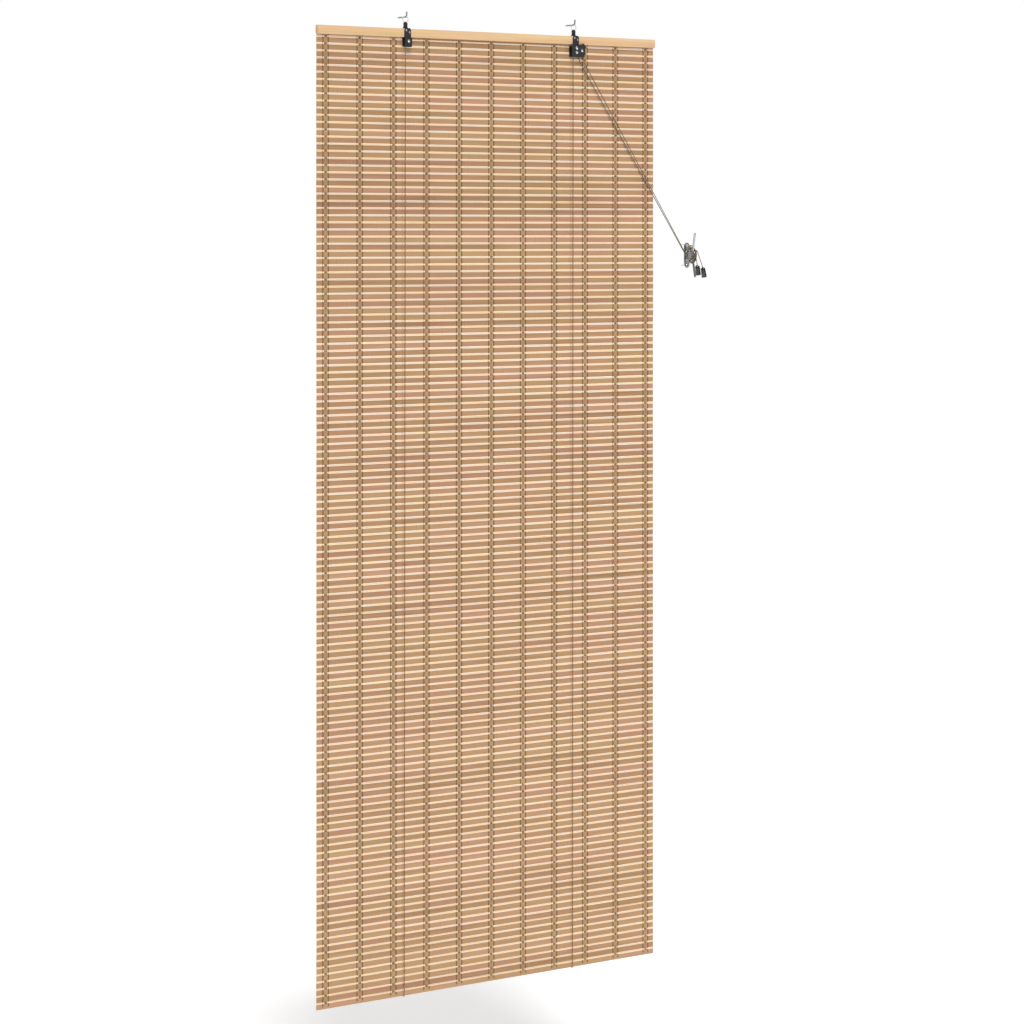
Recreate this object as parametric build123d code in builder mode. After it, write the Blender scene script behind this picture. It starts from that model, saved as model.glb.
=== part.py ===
from build123d import *
import os
from math import asin, atan2, cos, hypot, pi, radians, sin, sqrt, tan

# Bamboo roll-up blind, millimetres. The origin lies on the wall plane, midway between the two wall
# hooks and on the centre line of their shafts. +X runs to the right as seen from the room, the wall is
# the plane Y = 0 with the room on its -Y side, and +Z is up.

os.makedirs("parts", exist_ok=True)

# The woven mat
blind_width = 1000.0
row_count = 136
rolling_rows = 12
slat_width = 11.6
slat_thickness = 1.4
stick_width = 3.2
stick_thickness = 2.4
row_gap = 0.6
row_pitch = slat_width + stick_width + 2 * row_gap
slat_edge = 0.3
stick_edge = 0.7
mat_y = -12.0

# The warp threads that tie the rows together
thread_columns = 11
thread_margin = 25.0
thread_spread = 7.5
front_thread_width = 0.9
back_thread_width = 1.8
thread_thickness = 0.3
thread_clearance = 0.05

# The head rail: a front batten and a back lath that clamp the first slat
rail_top = -26.0
rail_height = 20.0
rail_length = blind_width
batten_thickness = 7.1
lath_thickness = 2.4
lath_height = rail_height - 2.0
rail_edge = 0.8
clamped_slat_drop = rail_height - 3.5
first_stick_drop = rail_height + 4.5
nail_radius = 0.6
nail_head_radius = 1.5
nail_head_thickness = 0.5
nail_bite = 4.5
nail_clearance = 0.05
nail_inset = 72.5
nail_count = 4

# The wall hooks and hanging rings
hanger_spacing = 500.0
hook_radius = 1.75
hook_thread_radius = 2.0
hook_thread_length = 18.0
hook_point = 4.0
hook_reach = 16.2
hook_rise = 12.8
hook_lean = 0.8
hook_bend = 3.2
ring_radius = 7.5
ring_wire = 0.5
ring_clearance = 0.05

# The folded steel brackets
strap = 1.2
knuckle_width = 6.0
knuckle_bore = 1.0
neck_top_width = 12.4
neck_waist_width = 10.6
plate_width = 18.7
saddle_width = 13.0
plate_shoulder = 6.0
rear_lip_height = 8.0
joggle_clearance = 0.2
housing_step = 3.5
housing_room = 8.2
left_housing_height = 20.6
left_housing_width = 20.0
right_housing_height = 27.6
right_housing_left = 15.0
right_housing_right = 26.0
right_housing_taper = 9.0
ear_width = 6.0
ear_height = 3.0
bracket_screw_places = [(-4.0, -4.2), (4.8, -8.0)]
screw_shank = 1.2
screw_head = 2.1
screw_head_height = 1.1
screw_length = 5.0

# The pulleys and the lock cam
cord_radius = 0.9
pulley_pitch_radius = 5.5
pulley_flange = 0.7
pulley_hub_radius = 2.6
pulley_gap = 0.7
rail_to_cord = 3.0
hub_shoulder = 0.15
axle_radius = 1.5
running_clearance = 0.06
side_clearance = 0.2
rivet_head_radius = 3.2
rivet_head_height = 1.5
rivet_tail_radius = 2.2
rivet_tail_height = 0.3
left_wheel_width = 4.6
right_wheel_width = 3.4
cam_across = 16.0
cam_drop = 5.1
cam_radius = 5.0
cam_reach = 9.4

# The cord cleat and the bells on the cord ends
cleat_from_edge = 119.0
cleat_z = -545.0
cleat_width = 6.0
cleat_base_width = 18.0
cleat_base_height = 62.0
cleat_base_thickness = 2.4
cleat_waist = 21.0
cleat_neck_out = 20.0
horn_thickness = 4.2
horn_root_out = 23.5
horn_tip_out = 33.5
horn_half_height = 56.0
cleat_screw_spacing = 50.0
cleat_screw_thread = 1.7
cleat_screw_shank = 1.5
cleat_screw_head = 3.2
cleat_screw_length = 20.0
cleat_screw_point = 4.0
cleat_hole_clearance = 0.1
wrap_clearance = 0.6
wrap_width = 18.0
wrap_height = 45.0
wrap_rise = 2.5
wrap_out = 11.0
wrap_depth = 17.5
bell_height = 25.0
bell_radius = 6.5
bell_top_radius = 4.2
bell_wall = 1.2
left_bell_lean = 8.0
right_bell_lean = 12.0
cord_seat = 0.05
lift_knot_drop = lath_height - 5.5
knot_radius = 2.0
loop_radius = 2.9
loop_reach = 3.0
loop_gap = 0.4
cord_past_lock = 2.0
cord_end_gap = 0.3
right_cord_turn = 68.5
pull_bend_drop = 8.0

# Levels and faces that follow from those sizes
rail_bottom = rail_top - rail_height
mat_front = mat_y - stick_thickness / 2
mat_back = mat_y + stick_thickness / 2
batten_back = mat_y - slat_thickness / 2
batten_front = batten_back - batten_thickness
lath_front = mat_y + slat_thickness / 2
lath_back = lath_front + lath_thickness
first_stick_z = rail_top - first_stick_drop
first_slat_z = first_stick_z - stick_width / 2 - row_gap - slat_width / 2
fixed_rows = row_count - rolling_rows
mat_bottom = first_slat_z - (row_count - 1) * row_pitch - slat_width / 2
roll_line = first_stick_z - fixed_rows * row_pitch + stick_width / 2 + row_gap / 2
ring_z = hook_radius + ring_clearance + ring_wire - ring_radius
knuckle_rise = ring_radius - sqrt(ring_radius**2 - (knuckle_width / 2) ** 2)
knuckle_z = ring_z - ring_radius + knuckle_rise + 1.2 * ring_wire + ring_clearance - knuckle_bore
neck_top = knuckle_z - knuckle_bore
plate_front = batten_front - strap
web_top = rail_bottom - joggle_clearance
web_bottom = web_top - strap
cheek_front = plate_front - housing_step
room_front = cheek_front + strap
room_back = room_front + housing_room
cheek_back = room_back + strap
pulley_z = rail_bottom - rail_to_cord - pulley_pitch_radius
pulley_flange_radius = pulley_pitch_radius + pulley_flange
lower_pulley_drop = pulley_pitch_radius + cord_radius + pulley_hub_radius + pulley_gap
lower_pulley_z = pulley_z - lower_pulley_drop
cam_z = pulley_z - cam_drop
hanger_x = hanger_spacing / 2
cleat_x = blind_width / 2 + cleat_from_edge
nail_z = rail_top - clamped_slat_drop + slat_width / 4
nail_spacing = (rail_length - 2 * nail_inset) / (nail_count - 1)
nail_places = [(n * nail_spacing - rail_length / 2 + nail_inset, nail_z) for n in range(nail_count)]


def write(piece, label):
    """Labels a finished piece and writes its STEP file."""
    piece.part.label = label
    export_step(piece.part, f"parts/{label}.step")


def bars(places, length, y, thickness, height, edge):
    """Straight bars along X centred at y, one at each height in places, with the four long edges cut."""
    half_y = thickness / 2
    half_z = height / 2
    with BuildSketch(Plane.YZ.offset(-length / 2)) as sections:
        with Locations([(y, z) for z in places]):
            Polygon(
                (-half_y + edge, -half_z),
                (half_y - edge, -half_z),
                (half_y, -half_z + edge),
                (half_y, half_z - edge),
                (half_y - edge, half_z),
                (-half_y + edge, half_z),
                (-half_y, half_z - edge),
                (-half_y, -half_z + edge),
            )
    extrude(sections.sketch, amount=length)


# ---- The mat -------------------------------------------------------------------------------------


def slats(places):
    """Wide, flat bamboo slats, one at each height in places."""
    bars(places, blind_width, mat_y, slat_thickness, slat_width, slat_edge)


def sticks(places):
    """Thin bamboo sticks with a nearly round section, one at each height in places."""
    bars(places, blind_width, mat_y, stick_thickness, stick_width, stick_edge)


def nail_holes():
    """Cuts the nail holes of the head rail through the piece being made."""
    with BuildSketch(Plane.XZ.offset(-lath_back)) as holes:
        with Locations(nail_places):
            Circle(nail_radius + nail_clearance)
    extrude(holes.sketch, amount=lath_back - batten_back + nail_bite + nail_clearance, mode=Mode.SUBTRACT)


with BuildPart() as clamped_slat:
    slats([rail_top - clamped_slat_drop])
    nail_holes()
write(clamped_slat, "clamped_slat")

with BuildPart() as wide_slats:
    slats([first_slat_z - row * row_pitch for row in range(fixed_rows)])
write(wide_slats, "wide_slats")

with BuildPart() as thin_sticks:
    sticks([first_stick_z - row * row_pitch for row in range(fixed_rows)])
write(thin_sticks, "thin_sticks")

# Each of the lowest rows turns on its own about the weave above it: one stick and the slat below it.
for row in range(fixed_rows, row_count):
    with BuildPart() as rolling_row:
        sticks([first_stick_z - row * row_pitch])
        slats([first_slat_z - row * row_pitch])
    write(rolling_row, f"rolling_row_{row - fixed_rows + 1:02d}")

column_spacing = (blind_width - 2 * thread_margin) / (thread_columns - 1)
column_places = [(column - (thread_columns - 1) / 2) * column_spacing for column in range(thread_columns)]


def threads(top, bottom):
    """The warp of one stretch of the mat: two strands in front and a double one behind at each column."""
    middle_z = (top + bottom) / 2
    front_y = mat_front - thread_clearance - thread_thickness / 2
    back_y = mat_back + thread_clearance + thread_thickness / 2
    front_places = [x + side * thread_spread for x in column_places for side in (-1, 1)]
    with Locations([(x, front_y, middle_z) for x in front_places]):
        Box(front_thread_width, thread_thickness, top - bottom)
    with Locations([(x, back_y, middle_z) for x in column_places]):
        Box(back_thread_width, thread_thickness, top - bottom)


with BuildPart() as warp_threads:
    threads(rail_bottom - thread_clearance, roll_line + thread_clearance)
write(warp_threads, "warp_threads")

with BuildPart() as lower_warp_threads:
    threads(roll_line - thread_clearance, mat_bottom)
write(lower_warp_threads, "lower_warp_threads")

# ---- The head rail -------------------------------------------------------------------------------


def screw_holes():
    """Cuts the four bracket screw holes through the piece being made."""
    for middle in (-hanger_x, hanger_x):
        with BuildSketch(Plane.XZ.offset(-plate_front)) as holes:
            with Locations([(middle + x, rail_top + z) for x, z in bracket_screw_places]):
                Circle(screw_shank + nail_clearance)
        extrude(holes.sketch, amount=-(strap + screw_length), mode=Mode.SUBTRACT)


with BuildPart() as head_rail:
    batten_y = (batten_front + batten_back) / 2
    bars([rail_top - rail_height / 2], rail_length, batten_y, batten_thickness, rail_height, rail_edge)
    nail_holes()
    screw_holes()
write(head_rail, "head_rail")

with BuildPart() as back_lath:
    lath_y = (lath_front + lath_back) / 2
    bars([rail_top - lath_height / 2], rail_length, lath_y, lath_thickness, lath_height, slat_edge)
    nail_holes()
write(back_lath, "back_lath")

with BuildPart() as rail_nails:
    with BuildSketch(Plane.XZ.offset(-lath_back)):
        with Locations(nail_places):
            Circle(nail_radius)
    extrude(amount=lath_back - batten_back + nail_bite)
    with BuildSketch(Plane.XZ.offset(-lath_back)):
        with Locations(nail_places):
            Circle(nail_head_radius)
    extrude(amount=-nail_head_thickness)
write(rail_nails, "rail_nails")

# ---- The hangers: wall hooks and rings -----------------------------------------------------------


def screw_thread(x, z, radius, length, point_length):
    """A screw's threaded end as a plain cylinder with a point, from the wall plane into the wall."""
    with BuildSketch(Plane((x, 0, z), z_dir=(0, 1, 0))) as thread:
        Circle(radius)
    extrude(thread.sketch, amount=length - point_length)
    with BuildSketch(Plane((x, length - point_length, z), z_dir=(0, 1, 0))) as thick_end:
        Circle(radius)
    with BuildSketch(Plane((x, length, z), z_dir=(0, 1, 0))) as point:
        Circle(radius / 5)
    loft([thick_end.sketch, point.sketch])


def wall_hook(middle):
    """An L-shaped screw hook: a thicker pointed thread for the wall, a shank and a short upright."""
    with BuildLine() as shape:
        FilletPolyline(
            (middle, 0, 0),
            (middle, -hook_reach, 0),
            (middle, -hook_reach - hook_lean, hook_rise),
            radius=hook_bend,
        )
    with BuildSketch(Plane((middle, 0, 0), z_dir=(0, -1, 0))) as section:
        Circle(hook_radius)
    sweep(section.sketch, path=shape.line)
    screw_thread(middle, 0, hook_thread_radius, hook_thread_length, hook_point)


with BuildPart() as left_wall_hook:
    wall_hook(-hanger_x)
write(left_wall_hook, "left_wall_hook")

with BuildPart() as right_wall_hook:
    wall_hook(hanger_x)
write(right_wall_hook, "right_wall_hook")


def hanging_ring(middle):
    """A closed wire ring that hangs on the hook's shank."""
    with BuildSketch(Plane.YZ.offset(middle)) as wire:
        with Locations((mat_y, ring_z + ring_radius)):
            Circle(ring_wire)
    revolve(wire.sketch, axis=Axis((middle, mat_y, ring_z), (0, 1, 0)))


with BuildPart() as left_hanging_ring:
    hanging_ring(-hanger_x)
write(left_hanging_ring, "left_hanging_ring")

with BuildPart() as right_hanging_ring:
    hanging_ring(hanger_x)
write(right_hanging_ring, "right_hanging_ring")

# ---- The brackets --------------------------------------------------------------------------------


def bracket_hanger(middle):
    """The upper part of a bracket: knuckle round the ring, neck, saddle over the rail, front plate, lip."""
    with BuildSketch(Plane.YZ.offset(middle - knuckle_width / 2)) as knuckle:
        with Locations((mat_y, knuckle_z)):
            Circle(knuckle_bore + strap)
            Circle(knuckle_bore, mode=Mode.SUBTRACT)
    extrude(knuckle.sketch, amount=knuckle_width)
    saddle_top = rail_top + strap
    neck_waist = (neck_top + saddle_top) / 2
    with BuildSketch(Plane.XZ.offset(-mat_y - strap / 2)) as neck:
        with BuildLine():
            Polyline(
                (middle - neck_top_width / 2, neck_top),
                (middle + neck_top_width / 2, neck_top),
                (middle + neck_waist_width / 2, neck_waist),
                (middle + saddle_width / 2, saddle_top),
                (middle - saddle_width / 2, saddle_top),
                (middle - neck_waist_width / 2, neck_waist),
                close=True,
            )
        make_face()
    extrude(neck.sketch, amount=strap)
    with Locations((middle, (plate_front + lath_back + strap) / 2, rail_top + strap / 2)):
        Box(saddle_width, lath_back + strap - plate_front, strap)
    with Locations((middle, lath_back + strap / 2, saddle_top - (rear_lip_height + strap) / 2)):
        Box(saddle_width, strap, rear_lip_height + strap)
    with BuildSketch(Plane.XZ.offset(-plate_front - strap)) as plate:
        with Locations((middle, (saddle_top + web_bottom) / 2)):
            Rectangle(plate_width, saddle_top - web_bottom)
        fillet(plate.vertices().group_by(Axis.Y)[-1], plate_shoulder)
    extrude(plate.sketch, amount=strap)


def housing_web(left, right):
    """The step of the strap under the rail that carries the pulley housing forward and back."""
    with Locations(((left + right) / 2, (cheek_front + cheek_back) / 2, (web_top + web_bottom) / 2)):
        Box(right - left, cheek_back - cheek_front, strap)


def cut_axle_holes(places):
    """Cuts the rivet holes through the cheek being made."""
    with BuildSketch(Plane.XZ.offset(-cheek_back - strap)) as holes:
        with Locations(places):
            Circle(axle_radius)
    extrude(holes.sketch, amount=cheek_back - cheek_front + 2 * strap, mode=Mode.SUBTRACT)


def left_cheek(face_y):
    """A cheek of the left pulley housing, with round lower corners, whose front face is at face_y."""
    with BuildSketch(Plane.XZ.offset(-face_y - strap)) as cheek:
        with Locations((-hanger_x, web_bottom - left_housing_height / 2)):
            Rectangle(left_housing_width, left_housing_height)
        fillet(cheek.vertices().group_by(Axis.Y)[0], left_housing_width / 5)
    extrude(cheek.sketch, amount=strap)


def right_cheek(face_y):
    """A cheek of the right housing: wider, tapered at its lower right corner."""
    left = hanger_x - right_housing_left
    right = hanger_x + right_housing_right
    bottom = web_bottom - right_housing_height
    with BuildSketch(Plane.XZ.offset(-face_y - strap)) as cheek:
        with BuildLine():
            Polyline(
                (left, web_bottom),
                (right, web_bottom),
                (right, bottom + right_housing_taper),
                (right - right_housing_taper / 3, bottom),
                (left, bottom),
                close=True,
            )
        make_face()
        fillet(cheek.vertices().group_by(Axis.Y)[0], right_housing_left / 6)
    extrude(cheek.sketch, amount=strap)


upper_axle_place = (hanger_x, pulley_z)
lower_axle_place = (hanger_x, lower_pulley_z)
cam_place = (hanger_x + cam_across, cam_z)
right_axle_places = [upper_axle_place, lower_axle_place, cam_place]

with BuildPart() as left_bracket:
    bracket_hanger(-hanger_x)
    housing_web(-hanger_x - left_housing_width / 2, -hanger_x + left_housing_width / 2)
    left_cheek(cheek_front)
    cut_axle_holes([(-hanger_x, pulley_z)])
    screw_holes()
write(left_bracket, "left_bracket")

with BuildPart() as left_housing_back:
    left_cheek(room_back)
    cut_axle_holes([(-hanger_x, pulley_z)])
write(left_housing_back, "left_housing_back")

with BuildPart() as right_bracket:
    bracket_hanger(hanger_x)
    housing_web(hanger_x - right_housing_left, hanger_x + right_housing_right)
    right_cheek(cheek_front)
    with Locations((hanger_x + right_housing_right - ear_width, cheek_front + strap / 2, web_top)):
        Box(ear_width, strap, 2 * ear_height)
    cut_axle_holes(right_axle_places)
    screw_holes()
write(right_bracket, "right_bracket")

with BuildPart() as right_housing_back:
    right_cheek(room_back)
    cut_axle_holes(right_axle_places)
write(right_housing_back, "right_housing_back")


def bracket_screws(middle):
    """The two round-headed screws that hold a bracket to the rail."""
    places = [(middle + x, rail_top + z) for x, z in bracket_screw_places]
    with BuildSketch(Plane.XZ.offset(-plate_front)) as shanks:
        with Locations(places):
            Circle(screw_shank)
    extrude(shanks.sketch, amount=-(strap + screw_length) + nail_clearance)
    with BuildSketch(Plane.XZ.offset(-plate_front)) as heads:
        with Locations(places):
            Circle(screw_head)
    extrude(heads.sketch, amount=screw_head_height)
    fillet(faces().group_by(Axis.Y)[0].edges(), screw_head_height / 2)


with BuildPart() as left_bracket_screws:
    bracket_screws(-hanger_x)
write(left_bracket_screws, "left_bracket_screws")

with BuildPart() as right_bracket_screws:
    bracket_screws(hanger_x)
write(right_bracket_screws, "right_bracket_screws")

# ---- The pulleys, their rivets and the lock cam --------------------------------------------------


def pulley(place, middle_y, width):
    """A grooved wheel with a long hub that fills the housing, on an axis along Y."""
    x, z = place
    bore = axle_radius + running_clearance
    hub_front = room_front + side_clearance
    hub_back = room_back - side_clearance
    groove = pulley_pitch_radius - cord_radius - 2 * cord_seat
    with BuildSketch(Plane((x, 0, z), x_dir=(1, 0, 0), z_dir=(0, 0, 1))) as half_section:
        with BuildLine():
            Polyline(
                (bore, hub_front),
                (pulley_hub_radius, hub_front),
                (pulley_hub_radius, middle_y - width / 2),
                (pulley_flange_radius, middle_y - width / 2),
                (pulley_flange_radius, middle_y - cord_radius - 4 * cord_seat),
                (groove, middle_y - cord_radius - 4 * cord_seat),
                (groove, middle_y + cord_radius + 4 * cord_seat),
                (pulley_flange_radius, middle_y + cord_radius + 4 * cord_seat),
                (pulley_flange_radius, middle_y + width / 2),
                (pulley_hub_radius, middle_y + width / 2),
                (pulley_hub_radius, hub_back),
                (bore, hub_back),
                close=True,
            )
        make_face()
    revolve(half_section.sketch, axis=Axis((x, 0, z), (0, 1, 0)))


def rivet(place):
    """A round-headed rivet through both cheeks, on an axis along Y."""
    x, z = place
    with BuildSketch(Plane((x, 0, z), x_dir=(1, 0, 0), z_dir=(0, 0, 1))) as half_section:
        with BuildLine():
            Polyline(
                (axle_radius, cheek_front),
                (rivet_head_radius, cheek_front),
                (rivet_head_radius, cheek_front - rivet_head_height / 3),
            )
            Spline(
                (rivet_head_radius, cheek_front - rivet_head_height / 3),
                (rivet_head_radius * 0.7, cheek_front - rivet_head_height * 0.8),
                (0, cheek_front - rivet_head_height),
                tangents=((0, -1), (-1, 0)),
            )
            Polyline(
                (0, cheek_front - rivet_head_height),
                (0, cheek_back + rivet_tail_height),
                (rivet_tail_radius, cheek_back + rivet_tail_height),
                (rivet_tail_radius, cheek_back),
                (axle_radius, cheek_back),
                (axle_radius, cheek_front),
            )
        make_face()
    revolve(half_section.sketch, axis=Axis((x, 0, z), (0, 1, 0)))


left_wheel_y = (room_front + room_back) / 2
upper_wheel_y = room_front + side_clearance + hub_shoulder + right_wheel_width / 2
lower_wheel_y = room_back - side_clearance - hub_shoulder - right_wheel_width / 2

with BuildPart() as left_pulley_wheel:
    pulley((-hanger_x, pulley_z), left_wheel_y, left_wheel_width)
write(left_pulley_wheel, "left_pulley_wheel")

with BuildPart() as upper_pulley_wheel:
    pulley(upper_axle_place, upper_wheel_y, right_wheel_width)
write(upper_pulley_wheel, "upper_pulley_wheel")

with BuildPart() as lower_pulley_wheel:
    pulley(lower_axle_place, lower_wheel_y, right_wheel_width)
write(lower_pulley_wheel, "lower_pulley_wheel")

with BuildPart() as left_pulley_axle:
    rivet((-hanger_x, pulley_z))
write(left_pulley_axle, "left_pulley_axle")

with BuildPart() as upper_pulley_axle:
    rivet(upper_axle_place)
write(upper_pulley_axle, "upper_pulley_axle")

with BuildPart() as lower_pulley_axle:
    rivet(lower_axle_place)
write(lower_pulley_axle, "lower_pulley_axle")

with BuildPart() as lock_cam_pin:
    rivet(cam_place)
write(lock_cam_pin, "lock_cam_pin")

# The cam is round where the left lift cord passes over it, and has a toothed nose towards the other cord.
with BuildPart() as lock_cam:
    cam_x, cam_middle_z = cam_place
    tooth = cam_reach / 10
    with BuildSketch(Plane.XZ.offset(-room_back + side_clearance)):
        with Locations(cam_place):
            Circle(cam_radius)
        with BuildLine():
            Polyline(
                (cam_x, cam_middle_z + cam_radius * 0.6),
                (cam_x - cam_reach + 2 * tooth, cam_middle_z + tooth),
                (cam_x - cam_reach + tooth, cam_middle_z),
                (cam_x - cam_reach + 1.6 * tooth, cam_middle_z - 0.6 * tooth),
                (cam_x - cam_reach, cam_middle_z - 1.5 * tooth),
                (cam_x - cam_reach + 1.2 * tooth, cam_middle_z - 2.2 * tooth),
                (cam_x - cam_reach + tooth, cam_middle_z - 3 * tooth),
                (cam_x, cam_middle_z - cam_radius),
                close=True,
            )
        make_face()
        with Locations(cam_place):
            Circle(axle_radius + running_clearance, mode=Mode.SUBTRACT)
    extrude(amount=housing_room - 2 * side_clearance)
write(lock_cam, "lock_cam")

# ---- The cords -----------------------------------------------------------------------------------


def cord(points, radii):
    """A cord's tube: straight runs joined by tangent arcs. Returns its length."""
    with BuildLine() as route:
        FilletPolyline(*points, radius=radii)
    start = Vector(*points[0])
    with BuildSketch(Plane(start, z_dir=Vector(*points[1]) - start)) as section:
        Circle(cord_radius)
    sweep(section.sketch, path=route.line)
    return sum(edge.length for edge in route.edges())


back_run_top = rail_top - lift_knot_drop
knot_y = lath_back + knot_radius + thread_clearance
loop_back = mat_y + loop_reach
loop_front = mat_y - loop_reach
loop_bottom = mat_bottom - cord_radius - loop_gap
lock_exit = web_bottom - right_housing_height - cord_past_lock
left_run_x = -hanger_x - pulley_pitch_radius
right_run_x = hanger_x - pulley_pitch_radius
cord_over = pulley_z + pulley_pitch_radius
left_exit_x = hanger_x + cam_across + cam_radius + cord_radius

# From the upper pulley the left cord falls at this angle to the cam, touching both circles.
cam_turn = cam_radius + cord_radius
cam_distance = hypot(cam_across, cam_drop)
cam_slope = atan2(cam_drop, cam_across) - asin((cam_turn - pulley_pitch_radius) / cam_distance)
slope_start = hanger_x + pulley_pitch_radius * tan(cam_slope / 2)
slope_fall = (left_exit_x - slope_start) * tan(cam_slope)

# The left lift cord: knot, down the back, under the mat, up the front, over the left pulley, along under
# the rail, over the upper pulley of the lock and down past the cam.
left_lift_points = [
    (left_run_x, knot_y, back_run_top),
    (left_run_x, loop_back, loop_bottom),
    (left_run_x, loop_front, loop_bottom),
    (left_run_x, left_wheel_y, cord_over),
    (slope_start, upper_wheel_y, cord_over),
    (left_exit_x, upper_wheel_y, cord_over - slope_fall),
    (left_exit_x, upper_wheel_y, lock_exit),
]
left_lift_radii = [loop_radius, loop_radius, pulley_pitch_radius, pulley_pitch_radius, cam_turn]

# The right lift cord: the same, but over the lower pulley and down between it and the cam, slanting right.
right_over = lower_pulley_z + pulley_pitch_radius
right_corner_x = hanger_x + pulley_pitch_radius * tan(radians(right_cord_turn / 2))
right_exit_x = right_corner_x + (right_over - lock_exit) / tan(radians(right_cord_turn))
right_lift_points = [
    (right_run_x, knot_y, back_run_top),
    (right_run_x, loop_back, loop_bottom),
    (right_run_x, loop_front, loop_bottom),
    (right_run_x, lower_wheel_y, right_over),
    (right_corner_x, lower_wheel_y, right_over),
    (right_exit_x, lower_wheel_y, lock_exit),
]
over_pulley = pulley_pitch_radius - cord_seat
right_lift_radii = [loop_radius, loop_radius, over_pulley, over_pulley]

with BuildPart() as left_lift_cord:
    left_lift_length = cord(left_lift_points, left_lift_radii)
    with Locations((left_run_x, knot_y, back_run_top)):
        Sphere(knot_radius)
write(left_lift_cord, "left_lift_cord")

with BuildPart() as right_lift_cord:
    right_lift_length = cord(right_lift_points, right_lift_radii)
    with Locations((right_run_x, knot_y, back_run_top)):
        Sphere(knot_radius)
write(right_lift_cord, "right_lift_cord")

# The pull cords: taut from the lock to the cleat, wrapped round its waist, and down to the bells.
pull_start = lock_exit - cord_end_gap
left_pull_points = [
    (left_exit_x, upper_wheel_y, pull_start),
    (left_exit_x + 1.5, upper_wheel_y - 0.2, pull_start - pull_bend_drop),
    (cleat_x - 6.0, -19.8, cleat_z - 16.5),
]
right_pull_points = [
    (right_exit_x, lower_wheel_y, pull_start),
    (right_exit_x + 3.4, lower_wheel_y, pull_start - pull_bend_drop),
    (cleat_x - 7.5, -17.0, cleat_z - 13.0),
]
left_tail_points = [
    (cleat_x + 6.0, -21.0, cleat_z + 1.0),
    (cleat_x + 12.0, -22.5, cleat_z - 9.5),
    (cleat_x + 13.6, -24.0, cleat_z - 23.5),
]
right_tail_points = [
    (cleat_x + 5.0, -19.0, cleat_z + 16.0),
    (cleat_x + 14.5, -20.0, cleat_z + 1.0),
    (cleat_x + 26.0, -20.3, cleat_z - 12.0),
    (cleat_x + 34.5, -20.5, cleat_z - 29.0),
]


def bend_radii(points):
    """Each corner's arc radius: 0.45 of the shorter run beside it, over the tangent of half the turn."""
    radii = []
    for before, here, after in zip(points, points[1:], points[2:]):
        first = Vector(*here) - Vector(*before)
        second = Vector(*after) - Vector(*here)
        half_turn = radians(first.get_angle(second)) / 2
        radii.append(0.45 * min(first.length, second.length) / tan(half_turn))
    return radii


cord_volumes = {}
for side, run_points, tail_points in (
    ("left", left_pull_points, left_tail_points),
    ("right", right_pull_points, right_tail_points),
):
    with BuildPart() as pull_cord:
        run_length = cord(run_points, bend_radii(run_points))
        tail_length = cord(tail_points, bend_radii(tail_points))
    write(pull_cord, f"{side}_pull_cord")
    cord_volumes[f"{side} pull cord"] = (pull_cord.part.volume, run_length + tail_length)

# ---- The cleat, its screws, the wrapped cord and the bells ---------------------------------------


def cleat_outline(width, clearance, mode=Mode.ADD):
    """The cleat's neck and two horns seen from the side, made this wide and larger by the clearance."""
    waist_top = cleat_z + cleat_waist / 2
    waist_bottom = cleat_z - cleat_waist / 2
    horn_front = horn_root_out + horn_thickness / 2
    horn_back = horn_root_out - horn_thickness / 2
    with BuildSketch(Plane.YZ.offset(cleat_x - width / 2)) as outline:
        with BuildLine():
            Polyline(
                (-cleat_base_thickness / 2, waist_top),
                (-cleat_neck_out, waist_top),
                (-horn_back, waist_top + horn_thickness),
                (-horn_tip_out + horn_thickness, cleat_z + horn_half_height),
                (-horn_tip_out, cleat_z + horn_half_height),
                (-horn_front, cleat_z),
                (-horn_tip_out, cleat_z - horn_half_height),
                (-horn_tip_out + horn_thickness, cleat_z - horn_half_height),
                (-horn_back, waist_bottom - horn_thickness),
                (-cleat_neck_out, waist_bottom),
                (-cleat_base_thickness / 2, waist_bottom),
                close=True,
            )
        make_face()
        if clearance:
            offset(amount=clearance, kind=Kind.INTERSECTION)
    extrude(outline.sketch, amount=width, mode=mode)


with BuildPart() as cord_cleat:
    with BuildSketch(Plane.XZ):
        with Locations((cleat_x, cleat_z)):
            SlotOverall(cleat_base_height, cleat_base_width, rotation=90)
    extrude(amount=cleat_base_thickness)
    fillet(faces().sort_by(Axis.Y)[0].edges(), cleat_base_thickness / 3)
    cleat_outline(cleat_width, 0)
    with BuildSketch(Plane.XZ.offset(-cleat_base_thickness)):
        with Locations([(cleat_x, cleat_z + side * cleat_screw_spacing / 2) for side in (-1, 1)]):
            Circle(cleat_screw_thread + cleat_hole_clearance)
    extrude(amount=3 * cleat_base_thickness, both=True, mode=Mode.SUBTRACT)
write(cord_cleat, "cord_cleat")

with BuildPart() as cleat_screws:
    screw_places = [(cleat_x, cleat_z + side * cleat_screw_spacing / 2) for side in (-1, 1)]
    with BuildSketch(Plane.XZ.offset(cleat_base_thickness)):
        with Locations(screw_places):
            Circle(cleat_screw_shank)
    extrude(amount=-cleat_base_thickness)
    with BuildSketch(Plane.XZ.offset(cleat_base_thickness)):
        with Locations(screw_places):
            Circle(cleat_screw_head)
    extrude(amount=screw_head_height)
    fillet(faces().group_by(Axis.Y)[0].edges(), screw_head_height / 2)
    for x, z in screw_places:
        screw_thread(x, z, cleat_screw_thread, cleat_screw_length, cleat_screw_point)
write(cleat_screws, "cleat_screws")

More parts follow.
